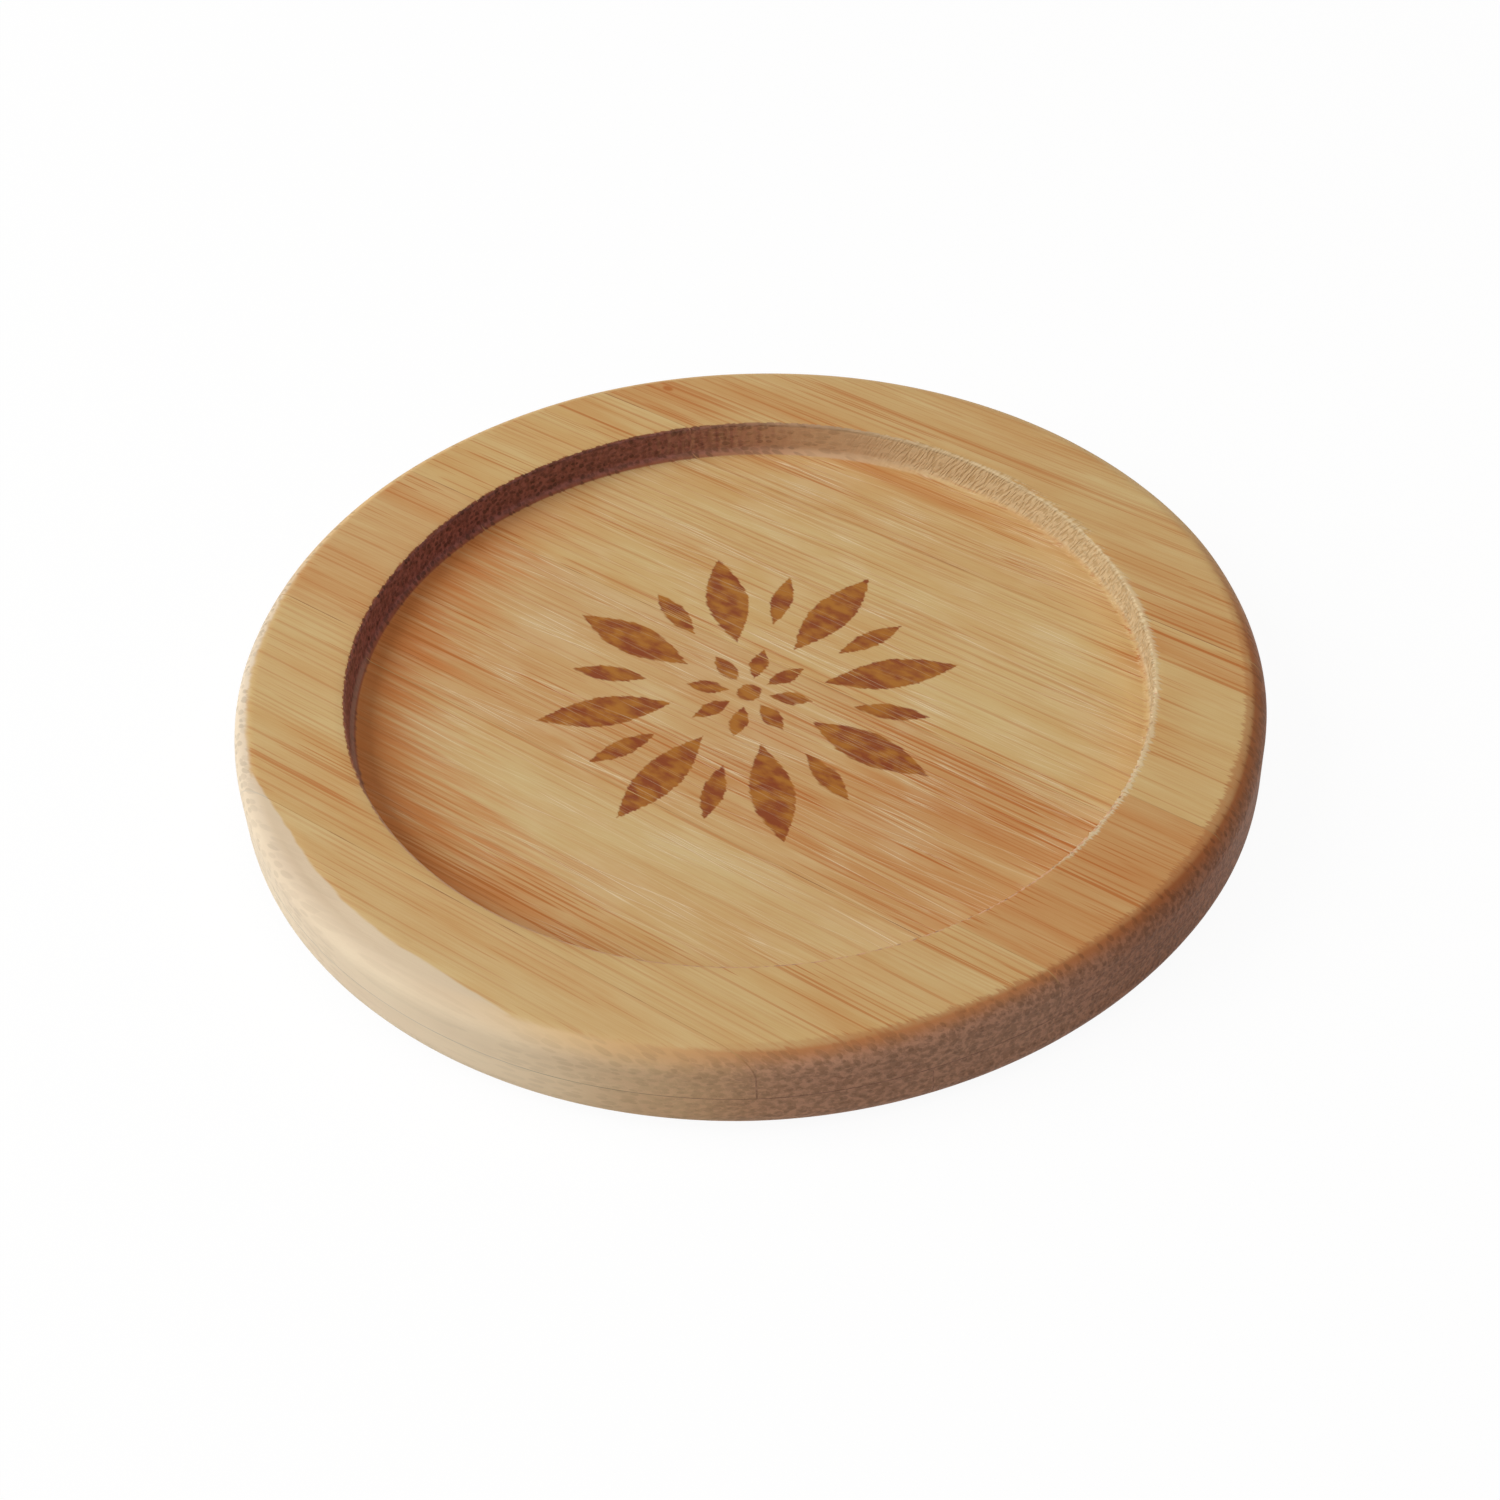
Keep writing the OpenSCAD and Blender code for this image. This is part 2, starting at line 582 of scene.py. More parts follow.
# %% [markdown]
# Bamboo is pale pith with brown bundles of fibre running through it. Seen from the
# side a bundle is a streak, and from the end it is a dot. So the bundles are round
# cells in the plane across the grain. A slow noise along the grain carries them up and
# down much more than sideways, which gives each streak on top a beginning and an end.

# %% Grow bundles of fibre
DRIFT_LONG, DRIFT_WIDE = 16.0, 4.0
SIDEWAYS_SHARE = 0.3


def stretched(place, along, across, seed):
    """The place, counted in cells of a length along the grain and a width across it."""
    cells = (1 / along, 1 / across, 1 / across)
    start = (seed, 3.7 * seed, 1.9 * seed)
    return place.node("ShaderNodeVectorMath", {"operation": "MULTIPLY_ADD"},
                      {0: place, 1: cells, 2: start})


def noise(place, along, across, seed, detail=2.0, roughness=0.5, outlet=0):
    """Noise whose lumps are this long along the grain and this wide across it."""
    return place.node("ShaderNodeTexNoise", {"noise_dimensions": "3D"},
                      {"Vector": stretched(place, along, across, seed), "Scale": 1.0,
                       "Detail": detail, "Roughness": roughness}, outlet)


def bundles(place, spacing, sway, seed):
    """The distance to the middle of the nearest fibre bundle, and a number of its own."""
    drift = noise(place, DRIFT_LONG, DRIFT_WIDE, seed, detail=1.0, outlet=1)
    moved = place.node("ShaderNodeVectorMath", {"operation": "MULTIPLY_ADD"},
                       {0: drift, 1: (0, SIDEWAYS_SHARE * sway, sway), 2: place})
    x, y, z = moved.parts()
    section = place.node("ShaderNodeCombineXYZ", None,
                         {0: y + 7.3 * seed, 1: z + 2.1 * seed, 2: 0.0})
    cells = {"voronoi_dimensions": "2D"}
    feed = {"Vector": section, "Scale": 1 / spacing, "Randomness": 0.9}
    reach = place.node("ShaderNodeTexVoronoi", cells, feed, "Distance") * spacing
    own = place.node("ShaderNodeTexVoronoi", cells, feed, "Color").parts()
    return reach / (0.6 + 0.8 * own[0]), own[1]


def core(reach, width):
    """1 inside a bundle of this width and 0 outside it."""
    return (reach / (width / 2)).step(1.15, 0.7)


print("Bundles ready")

# %% [markdown]
# Each wall is painted with the light that falls on it. A wall that faces the big lamp low on the
# left is painted pale, as painted light, and a wall that faces away from it is painted a deep
# tone, as painted shade. The normal tells how far a face is a wall, how squarely it cuts the
# grain, and to which side it looks. All finishes ask the same questions about a place, so one
# survey answers them and the others read its answers.

# %% Tell the walls from the flats
DISC_MM = DISC_R / MM
TOP_MM = DISC_T / MM
RECESS_MM = RECESS_R / MM
RIM_MM = RIM_ROUND_R / MM
FLOOR_MM = FLOOR_Z / MM
LIT_SIDE = math.radians(240)
SHADE_SIDE = math.radians(-4)
RECESS_SHADE_SIDE = math.radians(5)
TINY = 0.001


def towards(x, y, bearing):
    """How far a place or normal lies to one side, which is 1 straight along the bearing."""
    far = ((x * x + y * y) ** 0.5).most(TINY)
    return (x * math.cos(bearing) + y * math.sin(bearing)) / far


def facing(start, inner):
    """How steep a face is, how squarely it cuts the grain, how far it turns to the lamp, for
    painted light, and how far away, for painted shade.
    """
    x, y, z = start.node("ShaderNodeNewGeometry", outlet="Normal").parts()
    slope = 1 - z * z
    square = (x / (slope.most(TINY) ** 0.5)).size() * slope.step(0.0, 0.2)
    # The pale share is painted light on faces that turn to the big lamp, and the deep share below
    # is painted shade on faces that turn away.
    pale = towards(x, y, LIT_SIDE).step(0.35, 0.92)
    outer_shade = towards(x, y, SHADE_SIDE) * (1 - inner)
    shaded_side = (outer_shade + towards(x, y, RECESS_SHADE_SIDE) * inner).step(0.32, 0.76)
    return slope, square, pale, shaded_side


def survey(start):
    """What the finishes ask about a place: where it lies, in millimetres, how far from the
    middle, whether its wall is that of the recess, and how its face lies."""
    place = start.node("ShaderNodeTexCoord", outlet="Object").shaded(1 / MM)
    x, y, z = place.parts()
    far = (x * x + y * y) ** 0.5
    inner = far.step(DISC_MM - 4.0, DISC_MM - 5.0)
    slope, square, pale, shaded_side = facing(start, inner)
    return SimpleNamespace(place=place, x=x, y=y, z=z, far=far, inner=inner,
                           slope=slope, square=square, pale=pale, shaded_side=shaded_side)


print("Walls at", round(RECESS_MM, 2), "and", round(DISC_MM, 2), "mm from the middle")

# %% [markdown]
# Round the outer wall the wood goes from almost white, painted light where the wall faces the big
# lamp, through tan to a deep brown, painted shade where it faces away, and each tone is richer
# where the wall turns to the flat. The recess wall has like tones of its own. The tones are mixed
# by side, and a mottle that is long along the grain breaks up the brown. On the recess wall's deep
# side, and on one side of the outer wall, a tint paints more shade. Where the rim slopes off, the
# normal says too little, so the place decides there that the wall's tone, with its painted light,
# begins.

# %% Tone the walls with painted light and shade
# The pale tones are painted light, the deep tones painted shade, and tan lies between them.
LIT_PALE_WALL = (0.76, 0.65, 0.50)
LIT_PALE_TURN = (0.61, 0.51, 0.39)
TORN_AND_LIT_WALL = (0.65, 0.52, 0.325)
TAN_WALLS = (0.62, 0.41, 0.19), (0.61, 0.345, 0.205)
SHADED_BROWN_TURN = (0.37, 0.135, 0.045)
SHADED_BROWN_WALLS = (0.46, 0.235, 0.155), (0.30, 0.15, 0.095)
RECESS_SHADE_TINT = (0.91, 0.67, 0.93)
DEEPER_SHADE_TINT = (0.74, 0.60, 0.51)
DEEPER_SHADE_SIDE = math.radians(12)
ONE_SIDE = 0.8, 0.98
SLOPED_FADE = 0.7
SLOPED_RAGGED = 0.4


def wall_tone(at, seed):
    """The tone of a cut wall: pale with painted light, tan between, and dark with painted shade,
    each richer where it turns to the flat.
    """
    mottle = noise(at.place, 30.0, 0.5, seed, detail=3.0, roughness=0.6).step(0.4, 0.6)
    dark = at.slope.step(0.08, 0.9).blend(SHADED_BROWN_TURN, mottle.blend(*SHADED_BROWN_WALLS))
    # The recess wall's deep side, and the outer wall on one side, are tinted darker still: painted
    # shade.
    dark = at.inner.blend(dark, dark.tinted(RECESS_SHADE_TINT))
    deep = towards(at.x, at.y, DEEPER_SHADE_SIDE).step(*ONE_SIDE) * (1 - at.inner)
    dark = deep.blend(dark, dark.tinted(DEEPER_SHADE_TINT))
    pale = at.pale ** (3 - 2 * at.slope.most(at.inner))
    light = at.inner.blend(at.slope.step(0.1, 1.0).blend(LIT_PALE_TURN, LIT_PALE_WALL), TORN_AND_LIT_WALL)
    return at.shaded_side.blend(pale.blend(at.inner.blend(*TAN_WALLS), light), dark)


def sanded_edge(at, seed):
    """1 on the part of the rim that slopes off, where the wall's tone, with its painted light on
    the lamp side, reaches onto the rim.
    """
    beside = towards(at.x, at.y, SLOPED_SIDE).step(math.cos(SLOPED_SPREAD), 0.98)
    inwards = beside * (SLOPED_W / MM + SLOPED_FADE) - SLOPED_FADE
    inwards = inwards + noise(at.place, 3.0, 1.0, seed) * SLOPED_RAGGED
    return (at.far - DISC_MM + RIM_MM + inwards).step(0.1, 0.4) * beside.step(0.0, 0.2)


print("Outer wall from", LIT_PALE_WALL, "to", SHADED_BROWN_WALLS[0])

# %% [markdown]
# Along the edge of the recess the torn ends reach into the rim as a fringe of short strands, pale
# on one side and brown on the other. Beside them a stretch of the edge is worn pale, and on the
# side with painted shade a shorter fringe carries that painted shade onto the outer edge of the
# rim. On the torn wall the strands lie slanted, like those of a rope. The noise that sets their
# lengths is fine across the grain and hardly changes along it.

# %% Fray the edge of the recess
LAID_SIDE = math.pi
LAID_SHARE = 0.5
WORN_SIDE = math.radians(24)
FRINGE_LONG, FRINGE_WIDE = 30.0, 0.24
FRINGE_DEPTH = 0.4
FRINGE_STEEP = 9
OUTER_SHARE = 0.5


def fringe(at, seed):
    """The fringes at the recess and at the outer edge, and how torn and how worn a side is."""
    torn = towards(at.x, at.y, TORN_SIDE).step(0.55, 0.88)
    worn = towards(at.x, at.y, WORN_SIDE).step(0.72, 0.92)
    shaded_side = towards(at.x, at.y, SHADE_SIDE).step(0.5, 0.95)
    frayed = (LAID_SHARE * towards(at.x, at.y, LAID_SIDE).step(0.2, 0.9)).most(torn)
    lengths = noise(at.place, FRINGE_LONG, FRINGE_WIDE, seed, detail=2.0).step(0.36, 0.7)
    reach = (lengths * frayed).most((0.5 + 0.4 * lengths) * worn)
    below = (TOP_MM - FRINGE_DEPTH - at.z) * FRINGE_STEEP
    edge = (reach - (at.far - RECESS_MM).most(below)).step(-0.1, 0.25)
    outer = (lengths * OUTER_SHARE * shaded_side + at.far - DISC_MM + RIM_MM).step(-0.1, 0.3)
    return edge * frayed.most(worn).step(0.0, 0.2), outer * shaded_side, torn, worn


def strands(at, seed):
    """The slanted strands of the torn wall, from 0 between two to 1 on one."""
    round_wall = at.y.math("ARCTAN2", at.y, at.x) * RECESS_MM
    slanted = at.place.node("ShaderNodeCombineXYZ", None,
                            {0: 0.0, 1: round_wall + 0.6 * at.z, 2: 0.25 * at.z})
    return noise(slanted, 1.0, 0.3, seed, detail=1.0).step(0.34, 0.6)


print("Fringe outside", RECESS_MM, "mm")

# %% [markdown]
# Cups scuff the recess floor: pale scratches that run a little off the grain, and rubbed patches.
# On the floor at the foot of the wall on the lamp side lies a painted shadow, a deep reddish brown
# drawn out along the grain, and a thin painted highlight lies in the corner above it. Noise drawn
# out along the grain makes the scratches and the ragged end of the painted shadow.

# %% Wear the recess floor and paint the shadow at its wall
FLOOR_SHADOW_SIDE = math.radians(220)
FLOOR_SHADOW_REACH = RECESS_MM - 3.0, RECESS_MM + 10.0
FLOOR_SHADOW_RAGGED = 20.0
HIGHLIGHT_SIDE = math.radians(220)
# Each lay's turn off the grain in degrees, and the length and width of its scratches
SCRATCH_LAYS = (2, 20.0, 0.14), (-5, 13.0, 0.12)


def scuffs(at, seed):
    """Scratches and rubbed patches, each from 0 to 1."""
    rubbed = noise(at.place, 9.0, 4.0, seed, detail=3.0).step(0.46, 0.66)
    scratched = None
    for number, (turn, long, wide) in enumerate(SCRATCH_LAYS):
        turned = at.place.node("ShaderNodeVectorRotate", {"rotation_type": "Z_AXIS"},
                               {"Vector": at.place, "Angle": math.radians(turn)})
        lines = noise(turned, long, wide, seed + number, detail=0.0).step(0.70, 0.75)
        scratched = lines if scratched is None else scratched.most(lines)
    return scratched * (0.35 + 0.65 * rubbed), rubbed


def wall_foot_shadow(at, seed):
    """How much painted shadow lies on the floor near the foot of the wall on the lamp side."""
    ragged = noise(at.place, 12.0, 0.5, seed, detail=3.0) * FLOOR_SHADOW_RAGGED
    side = towards(at.x, at.y, FLOOR_SHADOW_SIDE).step(0.25, 0.85)
    return (at.far + ragged).step(*FLOOR_SHADOW_REACH) * side


def fillet_highlight(at):
    """The painted highlight along the fillet at the foot of the wall, on one side."""
    above = at.z.step(FLOOR_MM + 0.05, FLOOR_MM + 0.2)
    below = at.z.step(FLOOR_MM + 0.8, FLOOR_MM + 0.4)
    return above * below * towards(at.x, at.y, HIGHLIGHT_SIDE).step(0.962, 0.99)


# The bearing printed is that of the painted shadow on the floor.
print("Oil on the side at", round(math.degrees(FLOOR_SHADOW_SIDE)), "degrees")

# %% [markdown]
# A small ornament is burnt into the middle of the floor: two rings of pointed petals
# round a rosette. The angle round the middle is folded over and over, so one petal's
# formula draws a whole ring, and noise makes its edge bleed a little along the fibres.

# %% Burn the ornament
# Each ring's inner and outer radius, half a petal's width, and its turn in petals
PETAL_RINGS = (
    (7.6, 21.0, 2.1, 0),
    (10.5, 18.0, 1.1, 0.5),
    (2.1, 6.4, 0.9, 0.5),
)
PETALS = 8
EYE_R = 1.2
BLEED = 0.7


def petals(at, u_from, u_to, half_width, turned):
    """A ring of pointed petals, as how far inside one a place lies, in millimetres."""
    sector = 2 * math.pi / PETALS
    angle = at.y.math("ARCTAN2", at.y, at.x) + turned * sector
    folded = angle.math("WRAP", angle, sector / 2, -sector / 2)
    along = at.far * folded.math("COSINE", folded)
    across = (at.far * folded.math("SINE", folded)).size()
    share = ((along - u_from) / (u_to - u_from)).most(0.0).least(1.0)
    beyond = (u_from - along).most(along - u_to).most(0.0)
    return half_width * share.math("SINE", share * math.pi) - across - beyond


def burnt(at, seed):
    """The ornament: how burnt a place is, and how deep the tone."""
    bleed = (noise(at.place, 1.6, 0.35, seed, detail=2.0) - 0.5) * BLEED
    inside = EYE_R - at.far
    for u_from, u_to, half_width, turned in PETAL_RINGS:
        inside = inside.most(petals(at, u_from, u_to, half_width, turned))
    mask = (inside + bleed).step(-0.12, 0.12)
    blotch = noise(at.place, 2.6, 1.3, seed + 1, detail=3.0).step(0.35, 0.65)
    return mask, blotch


print("Ornament", 2 * PETAL_RINGS[0][1], "mm across")

# %% [markdown]
# Each strip is from another culm, so it has a pale and a deep tone of its own. The
# bundles crowd together in reddish bands that run along the grain, and some of those
# are given by place, as on the real board. Over the tones lie a fine silk along the
# grain and broad clouds. Both are noise that tints the tones and never covers them.

# %% Tone the face of a strip
RED_TONE = (0.51, 0.23, 0.08)
PITH_TONE = (0.63, 0.45, 0.21)
SILK_TINTS = (0.91, 0.79, 0.64), (1.09, 1.21, 1.36)
CLOUD_TINTS = (0.92, 0.74, 0.60), (1.08, 1.26, 1.40)
RED_SHARE = 0.6
PITH_SHARE = 0.4
BAND_WAVE = 3
# Each band's middle along and across the grain, its half length and width, its strength
RED_BANDS = {
    "top_strip_1": (
        (38, 29.4, 14, 2.2, 0.9),
        (-12, 36.5, 22, 2.6, 0.6),
        (-34, 31, 9, 4, 0.7),
    ),
    "top_strip_2": (
        (38, 24.8, 14, 2.4, 1.2),
        (-39, 24, 8, 2.5, 0.6),
        (46, 15, 8, 6, -0.6),
    ),
    "top_strip_3": (
        (50, -6, 44, 16, 0.75),
        (-44, 2.5, 9, 3, 0.7),
        (-8, -12, 40, 4.5, 0.4),
    ),
    "top_strip_4": (
        (-6, -33, 26, 3, 0.4),
        (38, -33, 14, 5, 0.5),
        (2, -26, 22, 5, -0.4),
    ),
    "top_strip_5": (
        (0, -42, 20, 2, 0.3),
    ),
}


def reddish(at, name, seed):
    """How closely the bundles crowd together, from 0 or less to about 1.5."""
    total = noise(at.place, 70.0, 2.6, seed, detail=2.0).step(0.42, 0.72) * 0.6
    wavy_y = at.y + (noise(at.place, 25.0, 6.0, seed + 1) - 0.5) * BAND_WAVE
    for middle_x, middle_y, half_long, half_wide, strength in RED_BANDS.get(name, ()):
        along = ((at.x - middle_x) / half_long).size().step(1.3, 0.5)
        across = ((wavy_y - middle_y) / half_wide).size().step(1.2, 0.3)
        total = total + along * across * strength
    return total


def face_tone(at, pale, deep, band, silk, cloud, seed):
    """The tone of a flat face between its streaks."""
    face = band.least(1.0).blend(pale, deep)
    face = (band.step(0.5, 1.6) * RED_SHARE).blend(face, RED_TONE)
    pith = noise(at.place, 22.0, 2.2, seed, detail=2.0).step(0.45, 0.7)
    face = (pith * PITH_SHARE).blend(face, PITH_TONE)
    return face.tinted(silk.blend(*SILK_TINTS)).tinted(cloud.blend(*CLOUD_TINTS))


print("Reddish bands on", len(RED_BANDS), "strips")

# %% [markdown]
# The same bundles are thin brown streaks on a flat face and dots on a wall. Coarse and
# fine ones grow together, and a reddish band shows more of both. Two small knots sit
# in the first strip. They are drawn as dark ovals, a little longer along the grain.

# %% Draw the streaks and knots
STREAK = (0.45, 0.155, 0.04)
COARSE_APART, COARSE_SWAY = 0.62, 0.9
FINE_APART, FINE_SWAY = 0.42, 0.7
COARSE_W, FINE_W, DOT_W = 0.27, 0.2, 0.46
# Each knot's place along and across the grain, and its radius
KNOTS = {"top_strip_1": ((-34.6, 34.6, 0.35), (-34.3, 32.0, 0.4))}
KNOT_SHAPE = 0.6


def grown(at, seed):
    """The bundles at a place: coarse, fine and as dots, with a number for each one."""
    coarse_reach, coarse_own = bundles(at.place, COARSE_APART, COARSE_SWAY, seed)
    fine_reach, fine_own = bundles(at.place, FINE_APART, FINE_SWAY, seed + 1)
    return SimpleNamespace(
        coarse=core(coarse_reach, COARSE_W), coarse_own=coarse_own,
        fine=core(fine_reach, FINE_W), fine_own=fine_own,
        dots=core(coarse_reach, DOT_W))


def streak_lines(grain, band, streaks):
    """The streaks on a flat face, more of them where the bundles crowd together."""
    crowd = ((0.35 + 0.75 * band) * streaks).least(1.0)
    fine = grain.fine * (0.2 + 0.7 * grain.fine_own)
    coarse = grain.coarse * (grain.coarse_own.step(0.1, 0.9) * 0.9 + 0.1)
    return fine.most(coarse) * crowd


def knotted(at, lines, name):
    """The streaks with the strip's knots among them."""
    for knot_x, knot_y, knot_r in KNOTS.get(name, ()):
        off = (((at.x - knot_x) * KNOT_SHAPE) ** 2 + (at.y - knot_y) ** 2) ** 0.5
        lines = lines.most(off.step(knot_r * 1.3, knot_r * 0.6))
    return lines


print("Streaks", COARSE_W, "and", FINE_W, "mm wide")

# %% [markdown]
# On the walls the ends of the bundles show as dark pits, most where the wall cuts them squarely.
# Where a flat turns to a wall, the tone of the flat gives way. On the side with painted shade that
# line is ragged, because the wall's tone begins sooner on a bundle.

# %% Show the end grain
PIT_DEPTH, RECESS_PIT_DEPTH = 0.36, 0.3


def end_grain(at, grain, flat, cloud, seed):
    """The tone of a wall with the ends of the bundles in it."""
    pitted = grain.dots * (0.3 + 0.7 * grain.coarse_own) * (0.15 + 0.85 * at.square)
    depth = PIT_DEPTH + RECESS_PIT_DEPTH * at.inner * (1 - at.pale)
    upright = wall_tone(at, seed).shaded(1.06 + 0.18 * cloud - depth * pitted)
    return (at.square * 0.25 + 0.7).blend(flat.shaded(0.95), upright)


def wall_share(at, grain, seed):
    """1 on a wall and 0 on a flat. On the side with painted shade the wall begins earlier on a
    bundle.
    """
    patchy = noise(at.place, 2.5, 0.8, seed) * at.pale * (1 - at.shaded_side)
    wall = at.slope * (1 + at.shaded_side * (0.8 * grain.coarse - 0.4)) * (1 - patchy)
    return wall.step(0.01, 0.13)


print("End grain", DOT_W, "mm wide")

# %% [markdown]
# The upper ply carries all the marks of making and use, and the painted shade, shadow and
# highlight of the recess and its edges. Each mark is a mask from 0 to 1, found once and then used
# for the tone and for the height of the surface. A mark has one seed for all the strips, so a
# scratch or a painted shadow goes on over the seams.

# %% Find the marks on the upper ply
MARK_SEEDS = {"fringe": 17.0, "scuffs": 5.0, "ornament": 4.0, "strands": 6.0, "floor_shadow": 11.0}


def marks_on(at):
    """Where each mark of making and use, and the painted shade and shadow, lie on the upper ply,
    from 0 to 1.
    """
    on_floor = at.z.step(FLOOR_MM + 0.5, FLOOR_MM + 0.1)
    near_floor = at.z.step(FLOOR_MM + 1.6, FLOOR_MM + 0.6)
    frayed, shaded_fringe, torn, worn = fringe(at, MARK_SEEDS["fringe"])
    scratch, rubbed = scuffs(at, MARK_SEEDS["scuffs"])
    char, blotch = burnt(at, MARK_SEEDS["ornament"])
    return SimpleNamespace(
        frayed=frayed, shaded_fringe=shaded_fringe, torn=torn, worn=worn,
        lay=strands(at, MARK_SEEDS["strands"]),
        scratch=scratch * on_floor, rubbed=rubbed * on_floor,
        char=char * on_floor, blotch=blotch,
        floor_shadow=wall_foot_shadow(at, MARK_SEEDS["floor_shadow"]) * near_floor)


print("Upper ply from", round(GLUE_HIGH_Z / MM, 2), "to", round(TOP_MM, 2), "mm")

# %% [markdown]
# Rubbing is in the wood and the painted shadow of the wall lies on the floor, so both are laid on
# under the streaks, and the painted shadow makes the streaks stronger. The burnt ornament, the
# scratches and the fringe cut through the streaks, so they go over them. On the recess wall, a
# painted highlight lies at the foot, and painted shade darkens the wall away from its torn side
# and its upper edge on the far side.

# %% Lay on the marks
SCUFF_TONE = (0.78, 0.62, 0.39)
FLOOR_SHADOW_TONE = (0.52, 0.165, 0.038)
FILLET_HIGHLIGHT_TONE = (0.36, 0.21, 0.15)
TORN_GAP = (0.43, 0.26, 0.10)
CHAR_TONES = (0.376, 0.141, 0.021), (0.223, 0.045, 0.012)
RUBBED_SHARE = 0.14
FLOOR_SHADOW_SHARE = 0.85
HIGHLIGHT_SHARE = 0.6
CHAR_SHARE = 0.96
SHADED_FRINGE_SHARE = 0.6
GAP_SHARE = 0.45
ARRIS_SHADE = 0.28
FAR_SIDE = math.radians(128)
LAY_H, FRAY_H = 0.06, 0.03
SCRATCH_DEPTH, CHAR_DEPTH = 0.015, 0.02


def marked_wall(at, marks, upright):
    """The recess wall, torn or laid over, with a painted highlight at its foot, painted shade away
    from the torn side, and painted shade at its edge on the far side.
    """
    upright = (at.inner * marks.torn * (1 - marks.lay) * GAP_SHARE).blend(upright, TORN_GAP)
    # Away from the torn side the recess wall is painted darker, more on its deep side: painted
    # shade in the recess.
    upright = upright.shaded(1 - at.inner * (1 - marks.torn) * (0.12 + 0.1 * at.shaded_side))
    # A painted highlight along the fillet at the foot of the wall.
    upright = (at.inner * fillet_highlight(at) * HIGHLIGHT_SHARE).blend(upright, FILLET_HIGHLIGHT_TONE)
    # The upper edge on the far side is painted darker: painted shade.
    arris = at.inner * at.z.step(TOP_MM - 0.5, TOP_MM - 0.25)
    arris = arris * towards(at.x, at.y, FAR_SIDE).step(0.0, 0.7)
    return upright.shaded(1 - ARRIS_SHADE * arris * (1 - 0.7 * marks.torn))


def under_streaks(marks, flat, lines):
    """The rubbed wood and the painted shadow at the wall's foot, and the streaks that the painted
    shadow makes stronger.
    """
    flat = (marks.rubbed * RUBBED_SHARE).blend(flat, SCUFF_TONE)
    flat = (marks.floor_shadow * FLOOR_SHADOW_SHARE).blend(flat, FLOOR_SHADOW_TONE)
    return flat, (lines + 1.2 * marks.floor_shadow * lines).least(1.0)


def over_streaks(marks, flat):
    """The face with its ornament, its scratches and its fringes."""
    flat = (marks.char * CHAR_SHARE).blend(flat, marks.blotch.blend(*CHAR_TONES))
    scratch = marks.scratch * (0.7 - 0.4 * marks.char) * (1 - marks.floor_shadow)
    flat = scratch.blend(flat, SCUFF_TONE)
    torn_tone = marks.lay.most(marks.worn).blend(TORN_GAP, TORN_AND_LIT_WALL)
    torn_tone = marks.torn.most(marks.worn).step(0.0, 0.2).blend(SHADED_BROWN_TURN, torn_tone)
    flat = (marks.frayed * (0.9 - 0.3 * marks.torn)).blend(flat, torn_tone)
    # The outer fringe carries the painted shade of the deep side onto the rim's edge.
    return (marks.shaded_fringe * SHADED_FRINGE_SHARE).blend(flat, SHADED_BROWN_TURN)


def marked_bump(at, marks, bump):
    """The height of the surface in millimetres, with what the marks raise and lower."""
    bump = bump + at.inner * marks.torn * at.slope.step(0.2, 0.8) * marks.lay * LAY_H
    bump = bump - marks.scratch * SCRATCH_DEPTH - marks.char * CHAR_DEPTH
    return bump + marks.frayed * FRAY_H


print("Marks in", SCUFF_TONE, "and", FLOOR_SHADOW_TONE)

# %% [markdown]
# One recipe finishes every strip, and a table says what is the strip's own: its pale
# and deep tones, the strength of its streaks and its seed, by which its grain differs
# from its neighbour's. A thin satin oil is on all of them, so the gloss is low.

# %% Finish the strips
SATIN = 0.5
SATIN_SPREAD = 0.16
OIL_GLOSS = 0.13
SILK_H, DOT_H = 0.02, 0.03


def bamboo(name, pale, deep, streaks, seed):
    """Bamboo from one culm: its two tones, how strong its streaks are, and its seed."""
    finish, start, shader = new_finish(name)
    at = survey(start)
    upper = name.startswith("top")
    band = reddish(at, name, seed)
    silk = noise(at.place, 7.0, 0.14, seed + 1, detail=3.0, roughness=0.65)
    cloud = noise(at.place, 14.0, 5.0, seed + 2, detail=3.0)
    grain = grown(at, seed + 3)
    flat = face_tone(at, pale, deep, band, silk, cloud, seed + 8)
    lines = streak_lines(grain, band, streaks)
    upright = end_grain(at, grain, flat, cloud, seed + 7)
    wall = wall_share(at, grain, seed + 9)
    bump = silk * SILK_H + grain.dots * at.square * DOT_H
    if upper:
        marks = marks_on(at)
        upright = marked_wall(at, marks, upright)
        flat, lines = under_streaks(marks, flat, lines)
    flat = knotted(at, lines, name).blend(flat, STREAK)
    if upper:
        flat = over_streaks(marks, flat)
        wall = wall.most(sanded_edge(at, seed + 10))
        wall = wall * (1 - at.inner * marks.torn * at.z.step(FLOOR_MM + 0.7, FLOOR_MM))
        bump = marked_bump(at, marks, bump)
    wood = wall.blend(flat, upright)
    start.tree.links.new(wood.socket, shader.inputs["Base Color"])
    start.tree.links.new((SATIN + SATIN_SPREAD * silk).socket, shader.inputs["Roughness"])
    relief = start.node("ShaderNodeBump", None, {"Strength": 1.0, "Distance": MM, "Height": bump})
    start.tree.links.new(relief.socket, shader.inputs["Normal"])
    shader.inputs["Specular IOR Level"].default_value = OIL_GLOSS
    return finish


